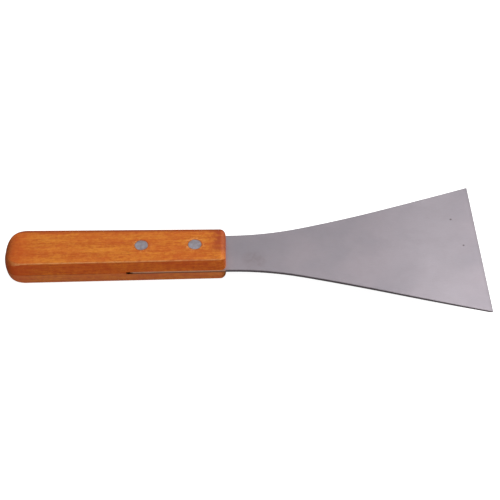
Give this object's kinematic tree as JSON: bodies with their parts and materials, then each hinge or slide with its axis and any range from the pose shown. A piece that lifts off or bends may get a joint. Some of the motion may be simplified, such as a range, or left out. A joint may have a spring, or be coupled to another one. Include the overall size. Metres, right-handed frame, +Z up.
{
  "type": "bench scraper",
  "caption": "Broad flared steel scraper blade whose tang is riveted into the sawn slot of a straight, one-piece wooden handle.",
  "frame": {"origin": "under the middle of the whole tool, on the plane that the handle's underside rests on", "axes": "+X from the handle's butt towards the working edge, +Z up out of the handle's top face, Y across the blade"},
  "size_m": [0.2844, 0.1016, 0.0171],
  "materials": {
    "handle_wood": "varnished",
    "blade_steel": "satin",
    "rivet_metal": "ground flush, dull"
  },
  "bodies": {
    "root": {"handle": "handle_wood", "blade": "blade_steel", "front_rivet_tube": "rivet_metal", "front_rivet_post": "rivet_metal", "rear_rivet_tube": "rivet_metal", "rear_rivet_post": "rivet_metal"}
  },
  "joints": []
}
